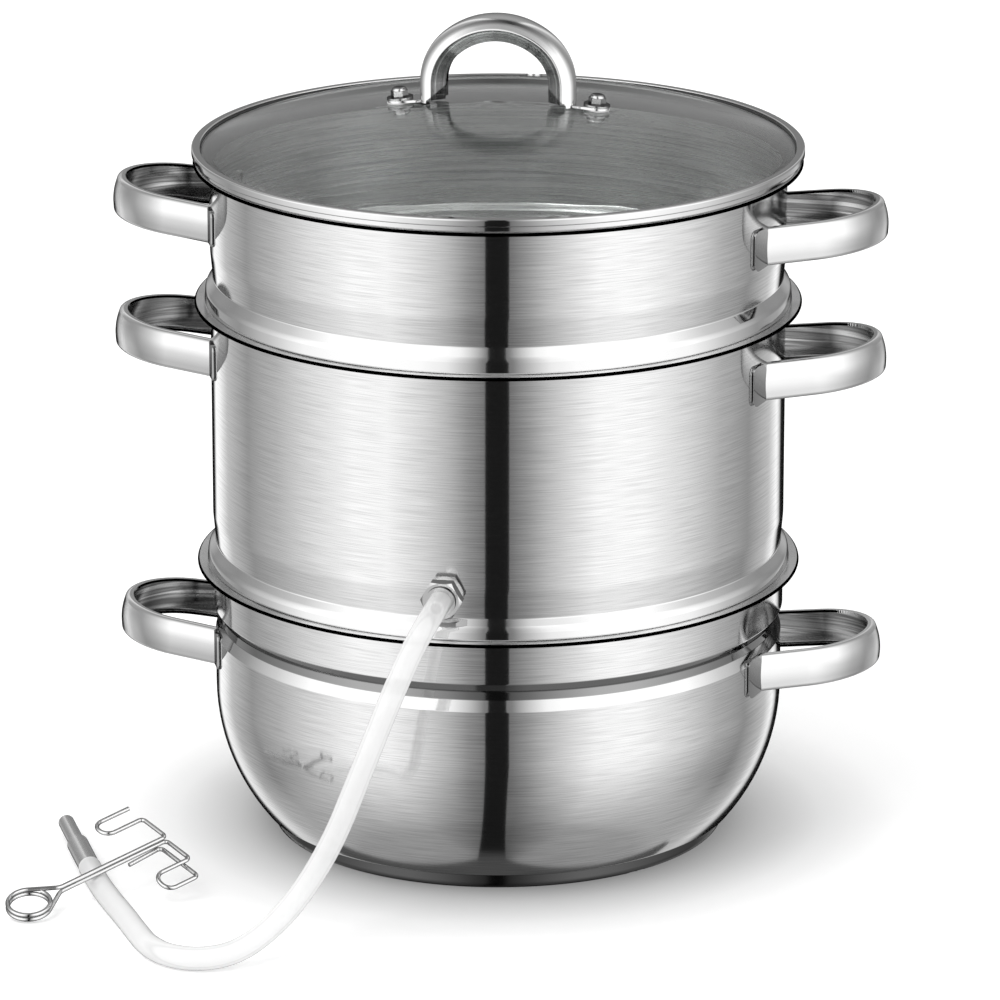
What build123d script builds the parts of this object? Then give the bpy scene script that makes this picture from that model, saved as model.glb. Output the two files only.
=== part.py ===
from build123d import *
from math import acos, cos, degrees, pi, radians, sin, sqrt, tan
import os

# A steam juicer: a water pan, a juice kettle and a fruit basket nested in one another, a glass
# lid on top, and a juice hose with its nozzle and its wire clamp.
# Millimetres, +Z up. The origin is the middle of the underside. The juice outlet faces -Y and
# the side handles lie along X.

# Shared by the pots
sheet = 0.8
wall_radius = 125.8
lip_reach = 7.0
lip_bead_radius = 0.8
lip_bend = 0.4
overrun = 5.0
hair_gap = 0.05
hexagon_sides = 6

# Nested skirts and the flared bands above them
skirt_inset = 4.3
skirt_bend = 1.0
band_flare = 2.6
band_taper = 0.5
band_bulge_share = 0.59
band_foot_bend = 0.9
band_bulge_bend = 5.0
neck_inset = 1.1
neck_bend = 0.9
wall_rounding_height = 12.3
wall_rounding_bend = 30.0

# Water pan
base_inset = 25.5
base_height = 6.7
base_corner = 3.0
core_gap = 0.3
pan_height = 121.7
pan_floor_inset = 22.2
pan_floor_bend = 6.0
pan_belly_inset = 0.6
pan_belly_bend = 88.0
pan_belly_knee = 26.9
pan_shoulder_drop = 32.7
pan_shoulder_rise = 5.0
pan_groove_inset = 2.5
pan_groove_height = 3.6
pan_collar_rise = 4.1
pan_crease_bend = 1.0

# Juice kettle
kettle_height = 117.6
kettle_band_height = 9.0
kettle_nest_depth = 18.7
kettle_trough_width = 9.0
kettle_trough_bend = 4.0
kettle_floor_rise = 24.4
cone_foot_radius = 46.0
cone_flange_width = 8.0
cone_top_radius = 20.0
cone_clearance = 9.1
cone_collar_height = 5.0
cone_bead_radius = 1.0
cone_bend = 3.0

# Fruit basket
basket_height = 62.5
basket_band_height = 11.0
basket_nest_depth = 30.0
basket_floor_bend = 5.0
basket_floor_margin = 10.0
hole_radius = 2.0
hole_ring_margin = 11.5
hole_ring_count = 8
holes_per_ring_step = 6

# Side handles: a strap formed to a channel that opens towards the pot, and its two tabs
strap_sheet = 1.2
strap_height = 16.6
strap_depth = 4.8
strap_crown = 1.6
strap_edge_bend = 2.2
strap_crown_bend = 25.0
strap_half_width = 35.6
strap_root_inset = 7.8
strap_first_heading = 6.8
strap_straight = 24.5
strap_shoulder_radius = 32.7
strap_nose_heading = 45.8
strap_tilt = 7.4
tab_height = 16.0
tab_length = 9.0
tab_corner = 2.5
pan_handle_drop = 38.7
kettle_handle_drop = 24.2
basket_handle_drop = 26.5

# Juice outlet, measured outwards from the kettle's wall, and turned a little from -Y towards -X
outlet_turn = 1.5
outlet_rise = 19.1
outlet_bore_radius = 2.5
outlet_shank_radius = 4.5
outlet_wall_hole_radius = 4.7
outlet_flange_radius = 8.5
outlet_flange_thickness = 1.5
outlet_seal_radius = 8.0
outlet_seal_reach = 3.6
outlet_washer_reach = 2.2
outlet_nut_width = 15.7
outlet_nut_thickness = 5.8
outlet_collar_radius = 6.5
outlet_collar_thickness = 1.2
outlet_spigot_length = 9.0

# Juice hose, its nozzle and its route. X and Y are measured from the end of the outlet's collar.
# The hose falls at shares of the outlet's height, and then lies on the floor.
hose_radius = 5.0
hose_bore_radius = 3.5
hose_rest_gap = 0.3
hose_bend_share = 0.45
hose_fall = [
    (0, 0), (-0.5, -18), (-5.5, -34), (-13, -42.5), (-21, -44.5),
    (-29, -44.5), (-37, -47), (-47, -53.5), (-59, -63), (-72.5, -75),
]
hose_fall_shares = [1, 1, 0.937, 0.806, 0.658, 0.507, 0.359, 0.225, 0.116, 0.051]
hose_lie = [
    (-86.5, -82.5), (-101.5, -81), (-113, -70.5), (-121.5, -54.5),
    (-131, -35.5), (-141.5, -16), (-151.2, 3.8), (-158.4, 21.4),
]
spigot_gap = 0.1
nozzle_bore_radius = 2.5
nozzle_barb_length = 10.0
nozzle_collar_radius = 4.7
nozzle_collar_length = 31.0
nozzle_edge_bend = 0.5
nozzle_tube_radius = 3.5
nozzle_tube_length = 29.0

# Wire clamp, laid over the hose: two wires that turn about the middle of their rings.
# Its place too is measured from the end of the outlet's collar.
wire_radius = 0.95
wire_layer = 2.2
ring_radius = 9.2
ring_sweep = 322.0
ring_place = (-174.1, -28.3, 4.3)
clamp_heading = 47.1
clamp_pitch = 11.0
clamp_roll = 12.8
clamp_neck_length = 16.5
clamp_neck_bend = 6.0
clamp_arm_end = 73.5
clamp_bar_half_length = 17.0
clamp_corner_bend = 2.2
clamp_hook_end = 54.0
clamp_hook_width = 10.0
clamp_hook_bend = 4.6
clamp_second_bar = 70.3
clamp_tail_root = 0.2
clamp_tail_offset = 1.4
clamp_tail_end = 52.3

# Lid: a glass dome in a formed steel rim
glass_edge_gap = 1.0
glass_sphere_radius = 426.0
glass_thickness = 3.6
rim_sheet = 0.6
rim_overhang = 0.5
rim_fold = 3.7
rim_height = 6.2
rim_band_height = 3.5
rim_step = 1.7
rim_locator_inset = 1.8
rim_locator_depth = 4.3
rim_top_bend = 0.9
rim_edge_bend = 0.7
rim_crease_bend = 0.3
rim_bead_radius = 0.45
rim_seal_reach = 1.1

# Lid handle: an arch of formed sheet with a bolted tab at each foot
arch_sheet = 1.2
arch_half_width = 34.3
arch_height = 39.0
arch_shoulder_radius = 29.0
arch_shoulder_angle = 50.0
arch_depth = 11.8
arch_crease_depth = 6.0
arch_half_thickness = 8.0
arch_slot_half_width = 3.6
arch_web_half_width = 5.6
arch_web_crown = 0.9
arch_web_bend = 6.0
arch_crown_bend = 15.0
arch_crease_bend = 1.4
arch_foot_angle = 40.0
arch_foot_inset = 3.7
arch_tab_width = 11.0
bolt_place = 43.0
bolt_radius = 2.0
bolt_hole_radius = 2.3
glass_hole_radius = 3.0
bolt_head_radius = 4.0
bolt_head_height = 2.4
bolt_grip_in_nut = 2.4
washer_radius = 5.75
washer_thickness = 0.8
seal_thickness = 0.6
nut_width = 6.7
nut_height = 2.8
nut_dome_height = 1.5

# Steam vent, a small eyelet at the back of the glass
vent_inset = 28.6
vent_bore_radius = 2.0
vent_barrel_radius = 2.5
vent_glass_hole_radius = 2.7
vent_flange_radius = 3.5
vent_flange_thickness = 0.7

# Radii that follow from the sizes above
lip_radius = wall_radius + lip_reach
skirt_radius = wall_radius - skirt_inset
band_radius = wall_radius + band_flare
band_bulge_radius = band_radius - band_taper
neck_radius = wall_radius - neck_inset
base_radius = wall_radius - base_inset
pan_floor_radius = wall_radius - pan_floor_inset
pan_belly_radius = wall_radius - pan_belly_inset
pan_groove_radius = wall_radius - pan_groove_inset
basket_plate_radius = skirt_radius - basket_floor_margin
hole_ring_pitch = (basket_plate_radius - hole_ring_margin) / hole_ring_count
rim_radius = lip_radius + rim_overhang
rim_inner_radius = rim_radius - rim_fold
rim_leg_radius = rim_radius - rim_step
rim_locator_radius = wall_radius - rim_locator_inset
rim_seal_radius = rim_inner_radius - rim_seal_reach
glass_radius = rim_leg_radius - glass_edge_gap
vent_place = glass_radius - vent_inset

# Levels that follow from the sizes above
pan_shoulder_height = pan_height - pan_shoulder_drop
kettle_seat = pan_height
kettle_top = kettle_seat + kettle_height
kettle_floor = kettle_seat - kettle_nest_depth + kettle_floor_rise
basket_seat = kettle_top
basket_floor = basket_seat - basket_nest_depth
basket_top = basket_seat + basket_height
cone_top = basket_floor - cone_clearance
outlet_height = kettle_seat + outlet_rise
lid_seat = basket_top
rim_top = lid_seat + rim_height

# Outlet and hose
outlet_reach = outlet_washer_reach + outlet_nut_thickness + outlet_collar_thickness
outlet_aim = Vector(-sin(radians(outlet_turn)), -cos(radians(outlet_turn)), 0)
outlet_end = outlet_aim * (wall_radius + outlet_reach)
hose_rest_height = hose_radius + hose_rest_gap


def formed_sheet(points, bends, thickness):
    """A sheet of one thickness on the left of a bent line, as a flat face"""
    line = FilletPolyline(*points, radius=bends)
    return Face(Wire(line.edges()).offset_2d(thickness, side=Side.LEFT))


def turned(face):
    """A face drawn as radius and height, turned about the Z axis"""
    return revolve(Plane.XZ * face, Axis.Z)


def lip_points(top):
    """The straight wall's top and the lip's outer end, on the underside of the sheet"""
    return [(wall_radius, top - sheet), (lip_radius - lip_bead_radius, top - sheet)]


def with_lip_bead(face, top):
    """The sheet's face with the round bead that ends its lip"""
    bead = Pos(lip_radius - lip_bead_radius, top - lip_bead_radius) * Circle(lip_bead_radius)
    return face + bead


def band_points(seat, band_height):
    """Outside of a nested pot from its seat over the flared band to the straight wall"""
    return [
        (skirt_radius, seat),
        (band_radius, seat),
        (band_bulge_radius, seat + band_bulge_share * band_height),
        (neck_radius, seat + band_height),
        (wall_radius, seat + band_height + wall_rounding_height),
    ]


band_bends = [skirt_bend, band_foot_bend, band_bulge_bend, neck_bend, wall_rounding_bend]


def make_pan_body():
    knee = base_height + pan_belly_knee
    groove_foot = pan_shoulder_height + pan_shoulder_rise
    collar_foot = groove_foot + pan_groove_height + pan_collar_rise
    points = [
        (0, base_height),
        (pan_floor_radius, base_height),
        (pan_belly_radius, knee),
        (pan_belly_radius, pan_shoulder_height),
        (pan_groove_radius, groove_foot),
        (pan_groove_radius, groove_foot + pan_groove_height),
        (wall_radius, collar_foot),
    ] + lip_points(pan_height)
    bends = [pan_floor_bend, pan_belly_bend] + 4 * [pan_crease_bend] + [lip_bend]
    return turned(with_lip_bead(formed_sheet(points, bends, sheet), pan_height))


def make_base_cap():
    """The cup that closes the heat spreading base from below"""
    points = [(0, 0), (base_radius, 0), (base_radius, base_height)]
    return turned(formed_sheet(points, [base_corner], sheet))


def make_base_core():
    """The aluminium disc inside the base"""
    radius = base_radius - sheet - core_gap
    half = Pos(radius / 2, (sheet + base_height) / 2) * Rectangle(radius, base_height - sheet)
    corner = half.vertices().sort_by(Axis.X)[-2:].sort_by(Axis.Y)[0]
    return turned(fillet(corner, base_corner - sheet + core_gap).face())


def wall_envelope(inset):
    """What the kettle's wall encloses from its neck upwards, smaller by an inset"""
    points = band_points(kettle_seat, kettle_band_height)[-2:]
    outline = [(0, points[0][1])]
    outline += [(radius - inset, height) for radius, height in points]
    outline += [(wall_radius - inset, kettle_top), (0, kettle_top)]
    return turned(make_face(Polyline(*outline, close=True)))


def make_kettle_body():
    trough = kettle_seat - kettle_nest_depth
    trough_inner_radius = skirt_radius - kettle_trough_width
    points = [
        (cone_foot_radius, kettle_floor),
        (trough_inner_radius, kettle_floor),
        (trough_inner_radius, trough),
        (skirt_radius, trough),
    ]
    points += band_points(kettle_seat, kettle_band_height) + lip_points(kettle_top)
    bends = 3 * [kettle_trough_bend] + band_bends + [lip_bend]
    body = turned(with_lip_bead(formed_sheet(points, bends, sheet), kettle_top))
    return body - outlet_plane() * Cylinder(outlet_wall_hole_radius, 4 * overrun)


def make_steam_cone():
    """The funnel that stands over the hole in the kettle's floor"""
    foot = kettle_floor + 2 * sheet
    points = [
        (cone_foot_radius + cone_flange_width, foot),
        (cone_foot_radius, foot),
        (cone_top_radius, cone_top - cone_collar_height),
        (cone_top_radius, cone_top - cone_bead_radius),
    ]
    funnel = formed_sheet(points, [cone_bend, cone_bend], sheet)
    bead = Pos(cone_top_radius - sheet / 2, cone_top - cone_bead_radius) * Circle(cone_bead_radius)
    return turned(funnel + bead)


def perforated_floor(radius, height):
    """A round plate with rings of holes about its middle"""
    holes = [Wire(Edge.make_circle(hole_radius))]
    for ring in range(1, hole_ring_count + 1):
        count = ring * holes_per_ring_step
        for place in range(count):
            turn = 2 * pi * place / count
            middle = Vector(cos(turn), sin(turn)) * ring * hole_ring_pitch
            holes.append(Wire(Edge.make_circle(hole_radius)).moved(Pos(middle)))
    plate = Face(Wire(Edge.make_circle(radius)), holes)
    return Pos(0, 0, height) * extrude(plate, amount=sheet, dir=(0, 0, 1))


def make_basket_body():
    points = [(basket_plate_radius, basket_floor), (skirt_radius, basket_floor)]
    points += band_points(basket_seat, basket_band_height) + lip_points(basket_top)
    bends = [basket_floor_bend] + band_bends + [lip_bend]
    wall = turned(with_lip_bead(formed_sheet(points, bends, sheet), basket_top))
    return wall + perforated_floor(basket_plate_radius, basket_floor)


def strap_path():
    """Plan of a side handle's outer crest, from one root round the nose to the other"""
    first = radians(strap_first_heading)
    start = Vector(wall_radius - strap_root_inset, strap_half_width)
    side = Line(start, start + Vector(cos(first), -sin(first)) * strap_straight)
    bend = strap_first_heading - strap_nose_heading
    shoulder = JernArc(side @ 1, side % 1, strap_shoulder_radius, bend)
    nose_radius = (shoulder @ 1).Y / cos(radians(strap_nose_heading))
    nose = JernArc(shoulder @ 1, shoulder % 1, nose_radius, -2 * (90 - strap_nose_heading))
    far_shoulder = JernArc(nose @ 1, nose % 1, strap_shoulder_radius, bend)
    far_side = Line(far_shoulder @ 1, far_shoulder @ 1 + (far_shoulder % 1) * strap_straight)
    return Wire([piece.edge() for piece in (side, shoulder, nose, far_shoulder, far_side)])


def strap_section():
    """Section of the strap: X points into the loop, Y runs along the pot's axis"""
    half = strap_height / 2
    points = [
        (strap_depth, half),
        (strap_crown, half),
        (0, 0),
        (strap_crown, -half),
        (strap_depth, -half),
    ]
    return formed_sheet(points, [strap_edge_bend, strap_crown_bend, strap_edge_bend], strap_sheet)


def make_side_handle(height, pot_radius):
    """The handle on the +X side of a pot, at the given height of its root"""
    path = strap_path()
    inwards = (path % 0).rotate(Axis.Z, -90)
    strap = sweep(Plane(path @ 0, inwards, path % 0) * strap_section(), path=path)
    pivot = Pos(pot_radius, 0, height)
    strap = pivot * Rot(0, -strap_tilt, 0) * Pos(-wall_radius, 0, 0) * strap
    seat_radius = pot_radius + hair_gap
    strap -= Pos(0, 0, height) * Cylinder(seat_radius, 4 * strap_height)
    shell = Cylinder(seat_radius + strap_sheet, tab_height) - Cylinder(seat_radius, tab_height)
    tab_root = strap_half_width - strap_sheet
    tab = Rectangle(tab_length + strap_sheet, tab_height)
    tab = fillet(tab.vertices().sort_by(Axis.X)[-2:], tab_corner)
    tab = Pos(tab_root + (tab_length + strap_sheet) / 2, 0) * tab
    prism = extrude(Plane.YZ * tab, amount=seat_radius + overrun)
    for patch in (prism, mirror(prism, about=Plane.XZ)):
        strap += Pos(0, 0, height) * (shell & patch)
    return strap


def outlet_plane():
    """At the outlet's axis on the kettle's wall, with Z pointing outwards"""
    foot = outlet_aim * wall_radius + Vector(0, 0, outlet_height)
    return Plane(foot, x_dir=outlet_aim.rotate(Axis.Z, 90), z_dir=outlet_aim)


def drum(radius, start, end):
    """A cylinder about the Z axis between two heights"""
    return extrude(Pos(0, 0, start) * Circle(radius), amount=end - start, dir=(0, 0, 1))


def ring(radius, bore, start, end):
    """A washer shape about the Z axis between two heights"""
    face = Circle(radius) - Circle(bore)
    return extrude(Pos(0, 0, start) * face, amount=end - start, dir=(0, 0, 1))


def make_outlet_spout():
    flange_end = -outlet_seal_reach
    spigot_radius = hose_bore_radius - spigot_gap
    spout = drum(outlet_flange_radius, flange_end - outlet_flange_thickness, flange_end)
    spout += drum(outlet_shank_radius, flange_end, outlet_reach)
    spout += drum(spigot_radius, outlet_reach, outlet_reach + outlet_spigot_length)
    spout -= Cylinder(outlet_bore_radius, 2 * (outlet_reach + outlet_spigot_length + overrun))
    return outlet_plane() * spout


def make_inner_seal():
    seal = ring(outlet_seal_radius, outlet_wall_hole_radius, -outlet_seal_reach, 0)
    return (outlet_plane() * seal) & wall_envelope(sheet + hair_gap)


def make_outer_seal():
    seal = ring(outlet_seal_radius, outlet_wall_hole_radius, -sheet, outlet_washer_reach)
    return (outlet_plane() * seal) - wall_envelope(-hair_gap)


def make_outlet_nut():
    top = outlet_washer_reach + outlet_nut_thickness
    hexagon = RegularPolygon(outlet_nut_width / 2, hexagon_sides, major_radius=False)
    nut = extrude(Pos(0, 0, outlet_washer_reach) * hexagon, amount=outlet_nut_thickness)
    corner_radius = outlet_nut_width / 2 / cos(pi / hexagon_sides)
    round_bar = drum(corner_radius, outlet_washer_reach, top)
    nut &= chamfer(round_bar.edges().sort_by(Axis.Z)[-1], corner_radius - outlet_nut_width / 2)
    nut += drum(outlet_collar_radius, top, top + outlet_collar_thickness)
    nut -= Cylinder(outlet_shank_radius + spigot_gap, 2 * (top + overrun))
    return outlet_plane() * nut


def hose_points():
    """The hose's route in the object's own axes"""
    heights = [share * outlet_height for share in hose_fall_shares]
    heights += [hose_rest_height] * len(hose_lie)
    return [outlet_end + Vector(x, y, z) for (x, y), z in zip(hose_fall + hose_lie, heights)]


def hose_line():
    """The hose's route with an arc at each point, as large as its runs allow"""
    points = hose_points()
    radii = []
    for before, here, after in zip(points, points[1:], points[2:]):
        turn = radians((here - before).get_angle(after - here))
        shorter = min((here - before).length, (after - here).length)
        radii.append(hose_bend_share * shorter / tan(turn / 2))
    print("hose bend radii", [round(radius, 1) for radius in radii])
    return Wire(FilletPolyline(*points, radius=radii).edges())


def make_hose():
    line = hose_line()
    tube = Circle(hose_radius) - Circle(hose_bore_radius)
    hose = sweep(Plane(line @ 0, z_dir=line % 0) * tube, path=line)
    expected = tube.area * line.length
    print("hose length", round(line.length, 1), "volume", round(hose.volume), "expected", round(expected))
    return hose


def make_nozzle():
    """Barb inside the hose, a collar that the hose butts on, and the pouring tube"""
    before, end = hose_points()[-2:]
    barb_radius = hose_bore_radius - spigot_gap
    reach = nozzle_collar_length + nozzle_tube_length
    nozzle = drum(barb_radius, -nozzle_barb_length, 0)
    collar = drum(nozzle_collar_radius, 0, nozzle_collar_length)
    nozzle += fillet(collar.edges().filter_by(GeomType.CIRCLE), nozzle_edge_bend)
    nozzle += drum(nozzle_tube_radius, nozzle_collar_length, reach)
    nozzle -= Cylinder(nozzle_bore_radius, 2 * (reach + overrun))
    return Plane(end, z_dir=end - before) * nozzle


def clamp_plane():
    """The clamp's plane: X along its arms, Z out of the plane, from the middle of its ring"""
    heading, pitch, roll = (radians(turn) for turn in (clamp_heading, clamp_pitch, clamp_roll))
    along = Vector(cos(heading) * cos(pitch), sin(heading) * cos(pitch), sin(pitch))
    level = Vector(-sin(heading), cos(heading), 0)
    across = level * cos(roll) + along.cross(level) * sin(roll)
    return Plane(outlet_end + Vector(*ring_place), x_dir=along, z_dir=along.cross(across))


def bent_wire(points, bends, side, layer):
    """A round wire: a ring about the origin that runs out into a bent line"""
    leave = side * acos(ring_radius / clamp_neck_length)
    start = leave + side * radians(ring_sweep)
    loop = CenterArc((0, 0), ring_radius, degrees(start), -side * ring_sweep)
    touch = Vector(cos(leave), sin(leave)) * ring_radius
    line = FilletPolyline(touch, *points, radius=bends)
    path = Wire(loop.edges() + line.edges())
    wire = sweep(Plane(path @ 0, z_dir=path % 0) * Circle(wire_radius), path=path)
    return clamp_plane() * Pos(0, 0, layer) * wire


def make_clamp_base():
    """The lower wire, with the hook that folds back under its own jaw"""
    near = -clamp_bar_half_length
    far = near - clamp_hook_width
    points = [
        (clamp_neck_length, 0, 0),
        (clamp_arm_end, 0, 0),
        (clamp_arm_end, near, 0),
        (clamp_hook_end, near, 0),
        (clamp_hook_end, far, -wire_layer),
        (clamp_second_bar, far, -wire_layer),
        (clamp_second_bar, -clamp_tail_root, -wire_layer),
        (clamp_tail_end, -clamp_tail_offset, -wire_layer),
    ]
    bends = [clamp_neck_bend] + 2 * [clamp_corner_bend] + 2 * [clamp_hook_bend] + 2 * [clamp_corner_bend]
    return bent_wire(points, bends, -1, 0)


def make_clamp_lever():
    """The upper wire, which swings sideways about the ring"""
    near = clamp_bar_half_length
    far = near + clamp_hook_width
    points = [
        (clamp_neck_length, 0),
        (clamp_arm_end, 0),
        (clamp_arm_end, near),
        (clamp_hook_end, near),
        (clamp_hook_end, far),
        (clamp_arm_end, far),
    ]
    bends = [clamp_neck_bend] + 2 * [clamp_corner_bend] + 2 * [clamp_hook_bend]
    return bent_wire(points, bends, 1, wire_layer)


def dome_drop(radius, sphere_radius):
    """How far a sphere falls below its crown at a radius"""
    return sphere_radius - sqrt(sphere_radius**2 - radius**2)


def glass_crown():
    """Height of the glass's outer crown, with its edge resting in the rim"""
    edge = lid_seat + rim_sheet + 2 * hair_gap
    inner_radius = glass_sphere_radius - glass_thickness
    return edge + glass_thickness + dome_drop(glass_radius, inner_radius)


def dome_plane(place_x, place_y):
    """On the outside of the glass, with Z square to it"""
    middle = Vector(0, 0, glass_crown() - glass_sphere_radius)
    lift = sqrt(glass_sphere_radius**2 - place_x**2 - place_y**2)
    foot = middle + Vector(place_x, place_y, lift)
    sideways = Vector(0, 1, 0) if place_x else Vector(-1, 0, 0)
    normal = foot - middle
    return Plane(foot, x_dir=sideways.cross(normal), z_dir=normal)


def glass_face():
    inner_radius = glass_sphere_radius - glass_thickness
    crown = glass_crown()
    outer_edge = (glass_radius, crown - dome_drop(glass_radius, glass_sphere_radius))
    inner_edge = (glass_radius, crown - glass_thickness - dome_drop(glass_radius, inner_radius))
    outside = RadiusArc((0, crown), outer_edge, glass_sphere_radius)
    inside = RadiusArc(inner_edge, (0, crown - glass_thickness), -inner_radius)
    edge = Line(outer_edge, inner_edge)
    axis = Line((0, crown - glass_thickness), (0, crown))
    return make_face([outside.edge(), edge.edge(), inside.edge(), axis.edge()])


def make_glass():
    glass = turned(glass_face())
    drill = Cylinder(glass_hole_radius, 4 * overrun)
    for place in (-bolt_place, bolt_place):
        glass -= dome_plane(place, 0) * drill
    return glass - dome_plane(0, vent_place) * Cylinder(vent_glass_hole_radius, 4 * overrun)


def make_rim():
    step = rim_top - rim_band_height
    points = [
        (rim_locator_radius, lid_seat - rim_locator_depth),
        (rim_locator_radius, lid_seat),
        (rim_leg_radius, lid_seat),
        (rim_leg_radius, step),
        (rim_radius, step),
        (rim_radius, rim_top),
        (rim_inner_radius + rim_bead_radius, rim_top),
    ]
    bends = [rim_crease_bend, rim_edge_bend, rim_crease_bend, rim_edge_bend, rim_top_bend]
    face = formed_sheet(points, bends, rim_sheet)
    bead = Circle(rim_bead_radius)
    return turned(face + Pos(rim_inner_radius + rim_bead_radius, rim_top - rim_bead_radius) * bead)


def make_rim_seal():
    """The soft ring between the glass's edge and the steel rim"""
    step = rim_top - rim_band_height + rim_sheet + hair_gap
    floor = lid_seat + rim_sheet + hair_gap
    ceiling = rim_top - 2 * rim_bead_radius - hair_gap
    leg = rim_leg_radius - rim_sheet - hair_gap
    outer = rim_radius - rim_sheet - hair_gap
    outline = [
        (rim_seal_radius, floor),
        (leg, floor),
        (leg, step),
        (outer - rim_edge_bend, step),
        (outer - rim_edge_bend, ceiling),
        (rim_inner_radius, ceiling),
        (rim_seal_radius, rim_top - rim_band_height),
    ]
    return turned(make_face(Polyline(*outline, close=True)) - glass_face())


def arch_path():
    """The lid handle's outer crest in the XZ plane, drawn as X and height"""
    top = glass_crown() + arch_height
    turn = radians(arch_shoulder_angle)
    side = arch_half_width - arch_shoulder_radius * (1 - cos(turn))
    crown_radius = side / cos(turn)
    leg_top = top - crown_radius * (1 - sin(turn)) - arch_shoulder_radius * sin(turn)
    foot = glass_crown() - dome_drop(arch_half_width, glass_sphere_radius)
    leg = Line((arch_half_width, foot), (arch_half_width, leg_top))
    shoulder = JernArc(leg @ 1, leg % 1, arch_shoulder_radius, arch_shoulder_angle)
    crown = JernArc(shoulder @ 1, shoulder % 1, crown_radius, 2 * (90 - arch_shoulder_angle))
    far_shoulder = JernArc(crown @ 1, crown % 1, arch_shoulder_radius, arch_shoulder_angle)
    far_leg = Line(far_shoulder @ 1, (-arch_half_width, foot))
    return Plane.XZ * Wire([piece.edge() for piece in (leg, shoulder, crown, far_shoulder, far_leg)])


def arch_section():
    """Hollow section of the lid handle: X points into the arch, with a slot along its inside"""
    half = [
        (arch_depth, arch_slot_half_width),
        (arch_crease_depth, arch_half_thickness),
        (arch_web_crown, arch_web_half_width),
    ]
    points = half + [(0, 0)] + [(depth, -width) for depth, width in reversed(half)]
    bends = [arch_crease_bend, arch_web_bend, arch_crown_bend, arch_web_bend, arch_crease_bend]
    return formed_sheet(points, bends, arch_sheet)


def tab_floor():
    """Height of a bolted tab's underside above the glass, at its bolt"""
    return hair_gap + seal_thickness


def make_arch():
    path = arch_path()
    inwards = Vector(-1, 0, 0)
    arch = sweep(Plane(path @ 0, inwards, path % 0) * arch_section(), path=path)
    foot = (path @ 0).Z
    corner_x = arch_half_width - arch_foot_inset
    inner_x = arch_half_width - arch_depth - overrun
    rise = (corner_x - inner_x) * tan(radians(arch_foot_angle))
    corner_z = foot + tab_floor() + arch_sheet
    notch = Polyline((corner_x, foot - overrun), (corner_x, corner_z), (inner_x, corner_z + rise),
                     (inner_x, foot - overrun), close=True)
    notch = extrude(Plane.XZ * make_face(notch), amount=2 * arch_half_thickness, both=True)
    tab_run = bolt_place - arch_half_width + arch_sheet
    block_size = 2 * (tab_run + overrun)
    below = Pos(0, 0, tab_floor() - overrun) * Box(block_size, block_size, 2 * overrun)
    tab = Pos(-tab_run / 2, 0) * Rectangle(tab_run, arch_tab_width) + Circle(arch_tab_width / 2)
    tab = Pos(0, 0, tab_floor()) * extrude(tab - Circle(bolt_hole_radius), amount=arch_sheet)
    bolt_plane = dome_plane(bolt_place, 0)
    arch -= notch + mirror(notch, about=Plane.YZ)
    arch -= bolt_plane * below + mirror(bolt_plane * below, about=Plane.YZ)
    return arch + bolt_plane * tab + mirror(bolt_plane * tab, about=Plane.YZ)


def bolt_levels():
    """Heights along a lid bolt, from the glass's outside: seals, tab, washers, head and nut"""
    levels = {"seal_top": tab_floor()}
    levels["washer_foot"] = levels["seal_top"] + arch_sheet
    levels["nut_foot"] = levels["washer_foot"] + washer_thickness
    levels["lower_seal_top"] = -glass_thickness - 2 * hair_gap
    levels["lower_washer_top"] = levels["lower_seal_top"] - seal_thickness
    levels["head_top"] = levels["lower_washer_top"] - washer_thickness
    return levels


def cap_nut(levels):
    foot = levels["nut_foot"]
    hexagon = RegularPolygon(nut_width / 2, hexagon_sides, major_radius=False)
    nut = extrude(Pos(0, 0, foot) * hexagon, amount=nut_height)
    dome = drum(nut_width / 2 - hair_gap, foot + nut_height, foot + nut_height + nut_dome_height)
    nut += fillet(dome.edges().sort_by(Axis.Z)[-1], nut_dome_height - hair_gap)
    return nut - drum(bolt_radius + hair_gap, foot, foot + bolt_grip_in_nut + hair_gap)


def bolt(levels):
    head = drum(bolt_head_radius, levels["head_top"] - bolt_head_height, levels["head_top"])
    head = fillet(head.edges().sort_by(Axis.Z)[0], bolt_head_height / 2)
    return head + drum(bolt_radius, levels["head_top"], levels["nut_foot"] + bolt_grip_in_nut)


def at_both_bolts(solid):
    """A group of two: the solid on each of the lid's bolt axes"""
    return Compound([(dome_plane(place, 0) * solid).solid() for place in (-bolt_place, bolt_place)])


def make_lid_fasteners():
    """Each kind of piece on the two bolts, by node name"""
    levels = bolt_levels()
    lower_seal = levels["lower_seal_top"]
    lower_washer = levels["lower_washer_top"]
    hole = bolt_hole_radius
    return {
        "lid_screws": at_both_bolts(bolt(levels)),
        "lid_cap_nuts": at_both_bolts(cap_nut(levels)),
        "lid_washers": at_both_bolts(ring(washer_radius, hole, levels["washer_foot"], levels["nut_foot"])),
        "lid_upper_seals": at_both_bolts(ring(washer_radius, hole, hair_gap, levels["seal_top"])),
        "lid_lower_seals": at_both_bolts(ring(washer_radius, hole, lower_washer, lower_seal)),
        "lid_lower_washers": at_both_bolts(ring(washer_radius, hole, levels["head_top"], lower_washer)),
    }


def make_vent():
    """The eyelet that lets steam out of the glass"""
    under = -glass_thickness - hair_gap
    vent = ring(vent_flange_radius, vent_bore_radius, hair_gap, hair_gap + vent_flange_thickness)
    vent += ring(vent_barrel_radius, vent_bore_radius, under, hair_gap)
    vent += ring(vent_flange_radius, vent_bore_radius, under - vent_flange_thickness, under)
    return dome_plane(0, vent_place) * vent


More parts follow.
